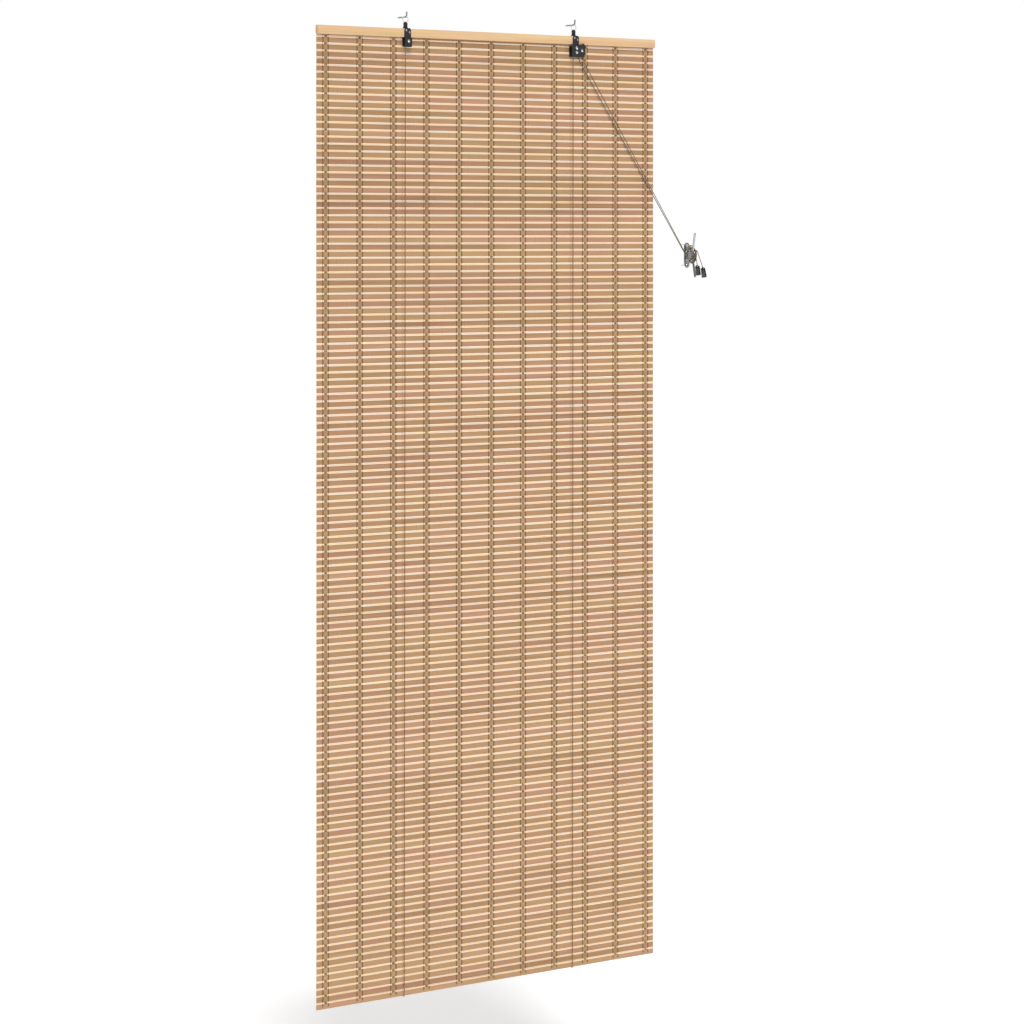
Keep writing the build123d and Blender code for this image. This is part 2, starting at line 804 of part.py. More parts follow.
with BuildPart() as cord_wrap:
    with BuildSketch(Plane.XZ.offset(wrap_out)):
        with Locations((cleat_x, cleat_z + wrap_rise)):
            Ellipse(wrap_width / 2, wrap_height / 2)
    extrude(amount=wrap_depth)
    cleat_outline(cleat_width + 2 * wrap_clearance, wrap_clearance, Mode.SUBTRACT)
write(cord_wrap, "cord_wrap")


def bell(top, lean):
    """A bell-shaped cord end, hollow below, whose cord enters at the top and is knotted inside."""
    down = Plane(top, x_dir=(0, 1, 0), z_dir=(sin(radians(lean)), 0, -cos(radians(lean))))
    middle_radius = (bell_top_radius + bell_radius) / 2
    with BuildSketch(down) as top_circle:
        Circle(bell_top_radius)
    with BuildSketch(down.offset(bell_height / 2)) as middle_circle:
        Circle(middle_radius)
    with BuildSketch(down.offset(bell_height)) as rim:
        Circle(bell_radius)
    loft([top_circle.sketch, middle_circle.sketch, rim.sketch])
    with BuildSketch(down.offset(bell_height / 2)) as hollow_top:
        Circle(middle_radius - bell_wall)
    with BuildSketch(down.offset(bell_height)) as hollow_rim:
        Circle(bell_radius - bell_wall)
    loft([hollow_top.sketch, hollow_rim.sketch], mode=Mode.SUBTRACT)


with BuildPart() as left_cord_bell:
    bell(left_tail_points[-1], left_bell_lean)
write(left_cord_bell, "left_cord_bell")

with BuildPart() as right_cord_bell:
    bell(right_tail_points[-1], right_bell_lean)
write(right_cord_bell, "right_cord_bell")

cord_volumes["left lift cord"] = (left_lift_cord.part.volume, left_lift_length)
cord_volumes["right lift cord"] = (right_lift_cord.part.volume, right_lift_length)
for name, (volume, length) in cord_volumes.items():
    ratio = volume / (pi * cord_radius**2 * length)
    print(name, round(length, 1), "mm, volume ratio", round(ratio, 4))
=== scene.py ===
import math
import random

import bmesh
import bpy
from mathutils import Matrix, Vector


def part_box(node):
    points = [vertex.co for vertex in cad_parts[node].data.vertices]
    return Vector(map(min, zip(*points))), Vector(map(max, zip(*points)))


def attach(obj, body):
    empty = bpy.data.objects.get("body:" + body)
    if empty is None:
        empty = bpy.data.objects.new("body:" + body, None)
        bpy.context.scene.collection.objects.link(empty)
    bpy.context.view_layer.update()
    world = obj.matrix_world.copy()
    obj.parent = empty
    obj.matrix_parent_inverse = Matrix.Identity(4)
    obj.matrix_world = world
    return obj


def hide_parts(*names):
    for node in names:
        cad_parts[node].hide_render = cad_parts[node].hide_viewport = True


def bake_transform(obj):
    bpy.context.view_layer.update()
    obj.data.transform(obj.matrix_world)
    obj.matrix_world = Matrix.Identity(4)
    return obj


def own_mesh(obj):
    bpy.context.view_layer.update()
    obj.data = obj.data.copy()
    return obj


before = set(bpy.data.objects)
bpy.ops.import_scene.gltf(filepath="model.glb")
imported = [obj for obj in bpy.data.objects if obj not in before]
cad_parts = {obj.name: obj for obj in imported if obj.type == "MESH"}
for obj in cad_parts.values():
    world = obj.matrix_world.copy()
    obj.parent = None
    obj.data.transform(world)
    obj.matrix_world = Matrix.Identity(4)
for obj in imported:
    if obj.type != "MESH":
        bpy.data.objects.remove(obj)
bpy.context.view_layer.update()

MM = 0.001

# ---- The cords' routes, in metres ----------------------------------------------------------------

# Each lift cord runs from its knot behind the rail, down the back, under the mat, up the front and over
# its pulley to the lock.
LEFT_LIFT = [
    (-0.2555, -0.00685, -0.0385), (-0.2555, -0.0090, -2.2146), (-0.2555, -0.0090, -2.2256),
    (-0.2555, -0.0150, -2.2256), (-0.2555, -0.0150, -2.2146), (-0.2555, -0.0192, -0.0600),
    (-0.2555, -0.0192, -0.0490), (-0.2445, -0.0192, -0.0490), (0.2398, -0.0212, -0.0490),
    (0.25079, -0.02125, -0.0490), (0.2719, -0.02125, -0.05518), (0.2719, -0.02125, -0.0770),
]
RIGHT_LIFT = [
    (0.2445, -0.00685, -0.0385), (0.2445, -0.0090, -2.2146), (0.2445, -0.0090, -2.2256),
    (0.2445, -0.0150, -2.2256), (0.2445, -0.0150, -2.2146), (0.2445, -0.01715, -0.0697),
    (0.2445, -0.01715, -0.0587), (0.25374, -0.01715, -0.0587), (0.26095, -0.01715, -0.0770),
]
# Each pull cord runs from the lock to the cleat, round its horns in figures of eight, and to its bell.
LEFT_PULL = [
    (0.2719, -0.02125, -0.0773), (0.2734, -0.02145, -0.0853), (0.2810, -0.0214, -0.0960),
    (0.6045, -0.0199, -0.5495), (0.6130, -0.0198, -0.5615), (0.6195, -0.0172, -0.5656),
    (0.6268, -0.0210, -0.5575), (0.6210, -0.0275, -0.5470), (0.6150, -0.0275, -0.5365),
    (0.6104, -0.0220, -0.5270), (0.6180, -0.0172, -0.5200), (0.6270, -0.0195, -0.5265),
    (0.6230, -0.0290, -0.5345), (0.6160, -0.0305, -0.5455), (0.6102, -0.0240, -0.5550),
    (0.6175, -0.0140, -0.5620), (0.6276, -0.0170, -0.5560), (0.6225, -0.0295, -0.5490),
    (0.6145, -0.0295, -0.5400), (0.6094, -0.0225, -0.5325), (0.6175, -0.0190, -0.5245),
    (0.6280, -0.0220, -0.5310), (0.6240, -0.0320, -0.5395), (0.6150, -0.0330, -0.5490),
    (0.6090, -0.0250, -0.5575), (0.6175, -0.0185, -0.5645), (0.6290, -0.0200, -0.5570),
    (0.6230, -0.0300, -0.5470), (0.6150, -0.0300, -0.5375), (0.6088, -0.0200, -0.5290),
    (0.6170, -0.0130, -0.5230), (0.6275, -0.0150, -0.5290), (0.6245, -0.0300, -0.5375),
    (0.6150, -0.0310, -0.5470), (0.6085, -0.0210, -0.5550), (0.6170, -0.0155, -0.5610),
    (0.6290, -0.0180, -0.5560), (0.6304, -0.0215, -0.5500), (0.6318, -0.0225, -0.5560),
    (0.6326, -0.0240, -0.5685),
]
RIGHT_PULL = [
    (0.26095, -0.01715, -0.0773), (0.26435, -0.01715, -0.0853), (0.2720, -0.01715, -0.0958),
    (0.6030, -0.0170, -0.5465), (0.6095, -0.0168, -0.5565), (0.6088, -0.0162, -0.5450),
    (0.6100, -0.0155, -0.5300), (0.6160, -0.0135, -0.5212), (0.6235, -0.0140, -0.5212),
    (0.6290, -0.0185, -0.5310), (0.6250, -0.0300, -0.5420), (0.6155, -0.0320, -0.5540),
    (0.6104, -0.0262, -0.5600), (0.6180, -0.0212, -0.5660), (0.6272, -0.0250, -0.5580),
    (0.6215, -0.0325, -0.5500), (0.6140, -0.0325, -0.5430), (0.6086, -0.0250, -0.5350),
    (0.6150, -0.0160, -0.5265), (0.6275, -0.0175, -0.5300), (0.6255, -0.0325, -0.5430),
    (0.6160, -0.0335, -0.5520), (0.6098, -0.0280, -0.5590), (0.6180, -0.0190, -0.5640),
    (0.6285, -0.0220, -0.5570), (0.6225, -0.0310, -0.5480), (0.6145, -0.0310, -0.5385),
    (0.6084, -0.0180, -0.5300), (0.6165, -0.0110, -0.5250), (0.6278, -0.0130, -0.5310),
    (0.6262, -0.0290, -0.5400), (0.6165, -0.0315, -0.5500), (0.6090, -0.0235, -0.5585),
    (0.6180, -0.0220, -0.5640), (0.6282, -0.0250, -0.5540), (0.6300, -0.0250, -0.5420),
    (0.6312, -0.0215, -0.5310), (0.6370, -0.0200, -0.5360), (0.6450, -0.0203, -0.5540),
    (0.6535, -0.0205, -0.5740),
]
# how far each bell hangs out of plumb, in degrees
LEFT_BELL_LEAN = 8.0
RIGHT_BELL_LEAN = 12.0
CORD_RADIUS = 0.9 * MM
KNOT_RADIUS = 2.0 * MM
# which point of a lift cord ends its run up the front of the mat
FRONT_RUN_TOP = 5
# how far the rolled-up mat reaches down from its top hinge, and out in front of the flat mat
ROLL_HEIGHT = 34 * MM
ROLL_DEPTH = 44 * MM

# ---- Sizes of the blind, in metres ---------------------------------------------------------------

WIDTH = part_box("head_rail")[1].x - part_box("head_rail")[0].x
RAIL_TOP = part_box("head_rail")[1].z
ROLLING = sorted(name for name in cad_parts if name.startswith("rolling_row_"))
ROLLING_BODIES = ["rolling_" + name[-2:] for name in ROLLING]
ROWS = 136
ROWS_ABOVE = ROWS - len(ROLLING)
PITCH = 16 * MM
SLAT_WIDTH = 11.6 * MM
SLAT_THICKNESS = 1.4 * MM
STICK_WIDTH = 3.2 * MM
STICK_THICKNESS = 2.4 * MM
ROW_GAP = 0.6 * MM
MAT_Y = (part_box("thin_sticks")[0].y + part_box("thin_sticks")[1].y) / 2
FIRST_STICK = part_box("thin_sticks")[1].z - STICK_WIDTH / 2
FIRST_SLAT = FIRST_STICK - STICK_WIDTH / 2 - ROW_GAP - SLAT_WIDTH / 2
MAT_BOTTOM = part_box(ROLLING[-1])[0].z
ROLL_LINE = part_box(ROLLING[0])[1].z + ROW_GAP / 2
# how far a strand's middle is from the mat's middle where it passes over a slat or a stick
OUTSIDE_SLAT = SLAT_THICKNESS / 2 + 0.35 * MM
OUTSIDE_STICK = STICK_THICKNESS / 2 + 0.3 * MM
# how far from a slat's edge a strand leaves its face
STRAND_RISE = 1.2 * MM
THREAD_COLUMNS = [(column - 5) * 95 * MM for column in range(11)]
# where the strands of one column are, in millimetres from its middle
FRONT_STRANDS = (-7.5, 7.5)
BACK_STRANDS = (-2.9, -1.0, 1.0, 2.9)
# each strand's radius, number of sides and flatness
FRONT_STRAND_SHAPE = (1.6 * MM, 6, 0.4)
BACK_STRAND_SHAPE = (1.0 * MM, 4, 0.6)
# how many steps each bamboo bar is built in along its length
BAR_STEPS = 8
LINE_RESOLUTION = 24
TINY = 1e-9
# what a cord's vertices carry: the distance along it, and where they are round it
CORD_MARKS = ("along", "round_cos", "round_sin")

# ---- Shapes of the cast and turned parts, in millimetres -----------------------------------------

# the line along the cleat's horns, as Y and height above the cleat's middle
HORN_LINE = [
    (-31.4, 54.6), (-30.4, 49.0), (-27.6, 34.0), (-24.6, 17.0), (-23.3, 6.0),
    (-23.3, -6.0), (-24.6, -17.0), (-27.6, -34.0), (-30.4, -49.0), (-31.4, -54.6),
]
HORN_RADIUS = 3.1
HORN_FLATNESS = 0.68
NECK_SIZE = (6.2, 22.5, 20.5)
NECK_Y = -12.4
FOOT_WIDTH = 17.6
FOOT_THICKNESS = 2.4
FOOT_STRAIGHT = 44.0
CLEAT_VOXEL = 0.65
# a bell's half section from the middle of its top, as radius and depth below the top
BELL_PROFILE = [
    (0.0, 0.0), (1.9, 0.0), (2.4, 0.5), (2.5, 1.6), (4.1, 2.0), (5.2, 2.8), (5.7, 4.4), (5.9, 8.0),
    (6.1, 13.0), (6.2, 18.0), (6.4, 22.2), (6.5, 23.6), (6.5, 24.5), (6.1, 25.0), (5.5, 24.8),
    (5.1, 23.4), (4.7, 18.0), (4.1, 12.0), (3.4, 6.0), (1.6, 4.6), (0.0, 4.6),
]

# ---- Camera, light and floor ---------------------------------------------------------------------

CAMERA_PLACE = (-5.168, -6.439, -0.487)
CAMERA_TURN = -39.14
LENS = 125.05
LENS_SHIFT = -0.274
SKY_STRENGTH = 0.45
# the sky's tone, from straight below at 0 to straight above at 1
SKY_TONES = [(0.0, 0.8), (0.42, 0.7), (0.52, 0.32), (0.62, 0.6), (0.8, 1.3)]
LAMP_STRENGTH = 2.15
LAMP_SPREAD = 14
LAMP_DIRECTION = (0.35, 0.66, -1.0)
FLOOR_DROP = 0.35
FLOOR_SIZE = 60.0


def set_stops(ramp, stops):
    """Gives a colour ramp these positions and colours."""
    while len(ramp.elements) < len(stops):
        ramp.elements.new(0.5)
    for element, (position, colour) in zip(ramp.elements, stops):
        element.position = position
        element.color = colour


def add_camera():
    """The camera stands to the left of the blind, level, and looks at it across its width."""
    data = bpy.data.cameras.new("camera")
    data.lens = LENS
    data.sensor_width = 36.0
    data.shift_y = LENS_SHIFT
    data.clip_end = 200.0
    camera = bpy.data.objects.new("camera", data)
    camera.location = CAMERA_PLACE
    camera.rotation_euler = (math.radians(90), 0, math.radians(CAMERA_TURN))
    bpy.context.scene.collection.objects.link(camera)
    bpy.context.scene.camera = camera


def add_light():
    """A white studio: soft light from all round, more of it from above, and one large soft lamp."""
    world = bpy.data.worlds.new("studio")
    world.use_nodes = True
    nodes = world.node_tree.nodes
    links = world.node_tree.links
    plain = nodes["Background"]
    plain.inputs["Color"].default_value = (1, 1, 1, 1)
    around = nodes.new("ShaderNodeBackground")
    around.inputs["Strength"].default_value = SKY_STRENGTH
    where = nodes.new("ShaderNodeTexCoord")
    split = nodes.new("ShaderNodeSeparateXYZ")
    links.new(where.outputs["Generated"], split.inputs[0])
    height = nodes.new("ShaderNodeMapRange")
    height.inputs["From Min"].default_value = -1.0
    height.inputs["From Max"].default_value = 1.0
    links.new(split.outputs["Z"], height.inputs["Value"])
    tones = nodes.new("ShaderNodeValToRGB")
    set_stops(tones.color_ramp, [(position, (tone, tone, tone, 1)) for position, tone in SKY_TONES])
    links.new(height.outputs[0], tones.inputs[0])
    links.new(tones.outputs[0], around.inputs["Color"])
    eye = nodes.new("ShaderNodeLightPath")
    either = nodes.new("ShaderNodeMixShader")
    links.new(eye.outputs["Is Camera Ray"], either.inputs[0])
    links.new(around.outputs[0], either.inputs[1])
    links.new(plain.outputs[0], either.inputs[2])
    links.new(either.outputs[0], nodes["World Output"].inputs["Surface"])
    bpy.context.scene.world = world
    data = bpy.data.lights.new("soft_lamp", "SUN")
    data.energy = LAMP_STRENGTH
    data.angle = math.radians(LAMP_SPREAD)
    lamp = bpy.data.objects.new("soft_lamp", data)
    lamp.rotation_euler = Vector(LAMP_DIRECTION).to_track_quat("-Z", "Y").to_euler()
    bpy.context.scene.collection.objects.link(lamp)
    bpy.context.scene.view_settings.view_transform = "Standard"


def add_floor():
    """A plain pale floor, a little below the hanging blind."""
    bm = bmesh.new()
    bmesh.ops.create_grid(bm, x_segments=1, y_segments=1, size=FLOOR_SIZE)
    mesh = bpy.data.meshes.new("floor")
    bm.to_mesh(mesh)
    bm.free()
    floor = bpy.data.objects.new("floor", mesh)
    floor.location = (0, 0, MAT_BOTTOM - FLOOR_DROP)
    bpy.context.scene.collection.objects.link(floor)
    material = bpy.data.materials.new("floor_paint")
    material.use_nodes = True
    shader = material.node_tree.nodes["Principled BSDF"]
    shader.inputs["Base Color"].default_value = (0.98, 0.98, 0.98, 1)
    shader.inputs["Roughness"].default_value = 0.9
    shader.inputs["Emission Color"].default_value = (1, 1, 1, 1)
    shader.inputs["Emission Strength"].default_value = 0.3
    mesh.materials.append(material)


# ---- Materials -----------------------------------------------------------------------------------


class Value:
    """A socket that can be used in Python expressions: each operator adds its own Math node."""

    def __init__(self, finish, socket):
        self.finish = finish
        self.socket = socket

    def join(self, operation, *values):
        return self.finish.node("ShaderNodeMath", {"operation": operation}, *values)

    def __add__(self, other):
        return self.join("ADD", self, other)

    def __radd__(self, other):
        return self.join("ADD", other, self)

    def __sub__(self, other):
        return self.join("SUBTRACT", self, other)

    def __rsub__(self, other):
        return self.join("SUBTRACT", other, self)

    def __mul__(self, other):
        return self.join("MULTIPLY", self, other)

    def __truediv__(self, other):
        return self.join("DIVIDE", self, other)


class Finish:
    """A new material, with short ways to add nodes to it."""

    def __init__(self, name, **constants):
        self.material = bpy.data.materials.new(name)
        self.material.use_nodes = True
        self.tree = self.material.node_tree
        self.shader = self.tree.nodes["Principled BSDF"]
        for socket, value in constants.items():
            self.shader.inputs[socket.replace("_", " ")].default_value = value

    def node(self, kind, settings, *values, output=0, **named):
        """Adds one node: its settings first, then its sockets' values or links."""
        node = self.tree.nodes.new(kind)
        for name, value in settings.items():
            setattr(node, name, value)
        for place, value in [*enumerate(values), *named.items()]:
            key = place.replace("_", " ") if isinstance(place, str) else place
            self.put(node.inputs[key], value)
        return Value(self, node.outputs[output])

    def put(self, socket, value):
        if isinstance(value, Value):
            self.tree.links.new(value.socket, socket)
        else:
            socket.default_value = value

    def set(self, socket, value):
        self.put(self.shader.inputs[socket], value)

    def place(self):
        """Object coordinates and their three parts."""
        where = self.node("ShaderNodeTexCoord", {}, output=3)
        parts = [self.node("ShaderNodeSeparateXYZ", {}, where, output=n) for n in range(3)]
        return where, parts

    def stretched(self, where, scale):
        return self.node("ShaderNodeMapping", {}, where, Scale=scale)

    def noise(self, where, scale, detail=3.0, roughness=0.55):
        return self.node(
            "ShaderNodeTexNoise", {}, where, Scale=scale, Detail=detail, Roughness=roughness
        )

    def ramp(self, value, *stops):
        colours = self.node("ShaderNodeValToRGB", {}, value)
        set_stops(colours.socket.node.color_ramp, [(place, (*colour, 1)) for place, colour in stops])
        return colours

    def mix(self, factor, first, second, blend_type="MIX"):
        mixer = self.tree.nodes.new("ShaderNodeMix")
        mixer.data_type = "RGBA"
        mixer.blend_type = blend_type
        for place, value in ((0, factor), (6, first), (7, second)):
            self.put(mixer.inputs[place], value)
        return Value(self, mixer.outputs[2])

    def step(self, value, low, high):
        """0 below low and 1 above high, with a smooth rise between."""
        settings = {"interpolation_type": "SMOOTHSTEP"}
        return self.node("ShaderNodeMapRange", settings, value, From_Min=low, From_Max=high)

    def bump(self, height, strength, distance):
        self.set("Normal", self.node("ShaderNodeBump", {}, strength, distance, Height=height))


def linear(red, green, blue):
    """A colour as it looks on a screen, 0 to 255, turned into linear light."""
    parts = [c / 255 for c in (red, green, blue)]
    return tuple(c / 12.92 if c < 0.04045 else ((c + 0.055) / 1.055) ** 2.4 for c in parts)


def bamboo(name, pale, brown, dark, first_row=FIRST_SLAT, jointed=True):
    """Split bamboo with its grain along X: long streaks, tone that differs from row to row, and joints."""
    finish = Finish(name)
    where, (x, y, z) = finish.place()
    row = (z - first_row) / PITCH + 0.5
    row = row.join("FLOOR", row)
    row_tone = finish.node("ShaderNodeTexWhiteNoise", {"noise_dimensions": "1D"}, W=row)
    along = finish.node("ShaderNodeCombineXYZ", {}, x * 3.2 + row_tone * 40.0, row * 0.73, y * 30.0)
    patch = finish.noise(along, 1.0, detail=2.0)
    fine = finish.noise(finish.stretched(where, (9, 260, 1400)), 1.0, detail=4.0, roughness=0.65)
    broad = finish.noise(finish.stretched(where, (2.2, 60, 330)), 1.0, detail=2.0)
    tone = patch * 0.42 + fine * 0.36 + broad * 0.34 + row_tone * 0.18 - 0.15
    colour = finish.ramp(tone, (0.2, dark), (0.5, brown), (0.82, pale))
    other = finish.node("ShaderNodeCombineXYZ", {}, x * 2.1 - row_tone * 17.0, row * 1.91, 3.0)
    warm = finish.noise(other, 1.0, detail=1.0)
    yellowish, pinkish = (*linear(252, 252, 240), 1), (*linear(255, 246, 252), 1)
    tint = finish.mix(finish.step(warm, 0.42, 0.62), yellowish, pinkish)
    colour = finish.mix(1.0, colour, tint, "MULTIPLY")
    # a bamboo joint every 340 mm: a narrow darker line with a paler lip
    strength = 1.0 if jointed else 0.0
    shifted = x + row_tone * 3.7 + row * 0.137
    from_joint = shifted.join("PINGPONG", shifted, 0.17)
    joint = 1 - finish.step(from_joint, 0.0006, 0.0022)
    lip = (1 - finish.step(from_joint, 0.0025, 0.007)) * (1 - joint)
    colour = finish.mix(joint * 0.22 * strength, colour, (*[c * 0.55 for c in dark], 1))
    colour = finish.mix(lip * 0.2 * strength, colour, (*pale, 1))
    finish.set("Base Color", colour)
    finish.set("Roughness", 0.4 + fine * 0.25)
    finish.bump(fine * 0.6 + (lip * 0.7 - joint * 0.8) * strength, 0.35, 0.0004)
    return finish.material


def thread_finish():
    """Twisted olive-brown cotton."""
    finish = Finish("twisted_thread", Roughness=0.85)
    where, _ = finish.place()
    settings = {"bands_direction": "DIAGONAL"}
    ply = finish.node("ShaderNodeTexWave", settings, where, Scale=700.0, Distortion=0.6)
    fuzz = finish.noise(where, 1800.0, detail=2.0)
    dark, pale = linear(74, 54, 34), linear(144, 116, 78)
    finish.set("Base Color", finish.ramp(ply * 0.5 + fuzz * 0.5, (0.15, dark), (0.85, pale)))
    finish.bump(ply, 0.6, 0.0002)
    return finish.material


def cord_finish(name, dark, pale, lay_length):
    """A cord of one dark and one pale yarn that turn round each other once in every lay_length."""
    finish = Finish(name, Roughness=0.7)
    along, round_cos, round_sin = (
        finish.node("ShaderNodeAttribute", {"attribute_name": mark}, output=2) for mark in CORD_MARKS
    )
    turn = along * (2 * math.pi / lay_length)
    twist = round_cos * turn.join("COSINE", turn) + round_sin * turn.join("SINE", turn)
    where, _ = finish.place()
    fuzz = finish.noise(where, 1500.0, detail=3.0)
    share = finish.step(twist + (fuzz - 0.5) * 0.5, -0.15, 0.15)
    shade = finish.mix(share, (*dark, 1), (*pale, 1))
    finish.set("Base Color", finish.mix(fuzz * 0.35, shade, (*[c * 0.5 for c in dark], 1)))
    finish.bump(twist.join("ABSOLUTE", twist) + fuzz * 0.3, 0.6, 0.0003)
    return finish.material


def metal(name, colour, roughness, grain=900.0, coat=0.0, metallic=1.0):
    """Plated or painted metal, or glossy plastic, with a fine grain and slight unevenness in its gloss."""
    finish = Finish(name, Metallic=metallic, Coat_Weight=coat)
    where, _ = finish.place()
    fine = finish.noise(where, grain, detail=3.0)
    cloud = finish.noise(where, grain / 20, detail=2.0)
    tint = finish.ramp(cloud, (0.3, [c * 0.94 for c in colour]), (0.7, colour))
    finish.set("Base Color", tint)
    finish.set("Roughness", roughness + (cloud - 0.5) * 0.12 + (fine - 0.5) * 0.08)
    finish.bump(fine, 0.12, 0.0001)
    return finish.material


def make_finishes():
    """Every finish of the blind, by a short name."""
    return {
        "brown": bamboo(
            "brown_bamboo", linear(191, 156, 118), linear(172, 134, 97), linear(140, 103, 69)
        ),
        "pale": bamboo(
            "pale_bamboo", linear(246, 220, 185), linear(236, 205, 166), linear(212, 174, 132)
        ),
        "rail": bamboo(
            "rail_bamboo", linear(230, 200, 160), linear(218, 183, 142), linear(192, 158, 116),
            first_row=RAIL_TOP, jointed=False,
        ),
        "thread": thread_finish(),
        "cord": cord_finish(
            "lift_cord_yarn", linear(118, 84, 54), linear(160, 122, 84), lay_length=14 * MM
        ),
        "pull_cord": cord_finish(
            "pull_cord_yarn", linear(38, 30, 24), linear(152, 132, 100), lay_length=7 * MM
        ),
        "black": metal(
            "black_powder_coat", (0.012, 0.012, 0.014), 0.5, 1600.0, coat=0.25, metallic=0.0
        ),
        "wheel": metal("black_moulding", (0.02, 0.02, 0.02), 0.42, 1200.0, metallic=0.0),
        "zinc": metal("bright_zinc", (0.86, 0.86, 0.88), 0.24),
        "wire": metal("nickel_wire", (0.42, 0.41, 0.40), 0.22),
        "chrome": metal("chrome_plate", (0.42, 0.43, 0.44), 0.22),
        "bell": metal(
            "glossy_black_moulding", (0.008, 0.008, 0.009), 0.18, 500.0, coat=0.6, metallic=0.0
        ),
    }


# ---- Making pieces -------------------------------------------------------------------------------


def new_piece(name, bm, material, body, replaces):
    """Turns a bmesh into a piece of the blind, on the given body if there is one."""
    mesh = bpy.data.meshes.new(name)
    bm.to_mesh(mesh)
    bm.free()
    mesh.materials.append(material)
    piece = bpy.data.objects.new(name, mesh)
    bpy.context.scene.collection.objects.link(piece)
    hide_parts(*replaces)
    if body:
        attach(piece, body)
    return piece


def add_bar(bm, draw, z, width, thickness):
    """One bamboo bar along X with rounded edges, slightly uneven ends and a slight wave along it."""
    left = -WIDTH / 2 + draw.uniform(0, 0.5) * MM
    right = WIDTH / 2 - draw.uniform(0, 0.5) * MM
    half_z = width / 2
    half_y = thickness / 2
    edge = min(half_z, half_y) * 0.55
    outline = [
        (-half_y, -half_z + edge), (-half_y + edge, -half_z),
        (half_y - edge, -half_z), (half_y, -half_z + edge),
        (half_y, half_z - edge), (half_y - edge, half_z),
        (-half_y + edge, half_z), (-half_y, half_z - edge),
    ]
    end = bm.faces.new([bm.verts.new((left, MAT_Y + y, z + dz)) for y, dz in outline])
    for _ in range(BAR_STEPS):
        made = bmesh.ops.extrude_face_region(bm, geom=[end])["geom"]
        end = next(g for g in made if isinstance(g, bmesh.types.BMFace))
        wave_y = draw.uniform(-0.05, 0.05) * MM
        wave_z = draw.uniform(-0.07, 0.07) * MM
        bmesh.ops.translate(bm, verts=end.verts, vec=((right - left) / BAR_STEPS, wave_y, wave_z))


def slats_piece(name, heights, finishes, body, replaces, seed):
    """A piece of one or more wide brown slats, one at each height."""
    size = (SLAT_WIDTH, SLAT_THICKNESS)
    bars_piece(name, heights, *size, finishes["brown"], body, "brown_bamboo", replaces, seed)


def sticks_piece(name, heights, finishes, body, replaces, seed):
    """A piece of one or more thin peeled sticks, one at each height."""
    size = (STICK_WIDTH, STICK_THICKNESS)
    bars_piece(name, heights, *size, finishes["pale"], body, "pale_bamboo", replaces, seed)


def bars_piece(name, heights, width, thickness, material, body, slot, replaces, seed):
    """A piece of one or more bamboo bars, whose unevenness follows from its seed."""
    bm = bmesh.new()
    draw = random.Random(seed)
    for z in heights:
        add_bar(bm, draw, z, width, thickness)
    bmesh.ops.recalc_face_normals(bm, faces=bm.faces)
    new_piece(name, bm, material, body, replaces)


def line_points(points):
    """Points along the smooth NURBS line that has these control points."""
    curve = bpy.data.curves.new("route", "CURVE")
    curve.dimensions = "3D"
    spline = curve.splines.new("NURBS")
    spline.points.add(len(points) - 1)
    for point, place in zip(spline.points, points):
        point.co = (*place, 1)
    spline.order_u = 3
    spline.use_endpoint_u = True
    curve.resolution_u = LINE_RESOLUTION
    holder = bpy.data.objects.new("route", curve)
    mesh = bpy.data.meshes.new_from_object(holder)
    route = [v.co.copy() for v in mesh.vertices]
    bpy.data.objects.remove(holder)
    bpy.data.curves.remove(curve)
    bpy.data.meshes.remove(mesh)
    return route


def add_tube(bm, route, radii, sides, across=None, flat=1.0, marked=False):
    """A closed tube along a line. radii is one radius or one for each point, across is where its first
    side points, and flat is how thick it is the other way. A marked tube carries what cord_finish reads."""
    marks = []
    if marked:
        marks = [bm.verts.layers.float.new(name) for name in CORD_MARKS]
    side = Vector(across) if across else Vector((0, 0, 1)).cross(route[1] - route[0])
    if side.length < TINY:
        side = Vector((1, 0, 0))
    along = 0.0
    rings = []
    for n, here in enumerate(route):
        ahead = (route[min(n + 1, len(route) - 1)] - route[max(n - 1, 0)]).normalized()
        side = (side - ahead * side.dot(ahead)).normalized()
        up = ahead.cross(side)
        along += (here - route[max(n - 1, 0)]).length
        radius = radii[n] if isinstance(radii, list) else radii
        ring = []
        for k in range(sides):
            angle = 2 * math.pi * k / sides
            cos, sin = math.cos(angle), math.sin(angle)
            vertex = bm.verts.new(here + side * cos * radius + up * sin * radius * flat)
            for mark, value in zip(marks, (along, cos, sin)):
                vertex[mark] = value
            ring.append(vertex)
        rings.append(ring)
    for first, second in zip(rings, rings[1:]):
        for k in range(sides):
            bm.faces.new((first[k], first[(k + 1) % sides], second[(k + 1) % sides], second[k]))
    bm.faces.new(list(reversed(rings[0])))
    bm.faces.new(rings[-1])


def smooth(piece, angle=40):
    """Smooth shading, with edges kept where faces meet at more than this angle."""
    for polygon in piece.data.polygons:
        polygon.use_smooth = True
    piece.data.set_sharp_from_angle(angle=math.radians(angle))


# ---- The mat -------------------------------------------------------------------------------------


def weave_points(x, bottom_z, front_of_slats):
    """One strand's line over one row: past the stick on one side of the mat and the slat on the other."""
    towards_room = -1 if front_of_slats else 1
    slat_y = MAT_Y + towards_room * OUTSIDE_SLAT
    stick_y = MAT_Y - towards_room * OUTSIDE_STICK
    beside_stick = slat_y * 0.4 + stick_y * 0.6
    slat_top = bottom_z + SLAT_WIDTH / 2
    stick_bottom = slat_top + ROW_GAP
    stick_top = stick_bottom + STICK_WIDTH
    return [
        (x, slat_y, slat_top - STRAND_RISE),
        (x, beside_stick, stick_bottom),
        (x, stick_y, stick_bottom + STICK_WIDTH / 2),
        (x, beside_stick, stick_top),
        (x, slat_y, stick_top + ROW_GAP + STRAND_RISE),
    ]


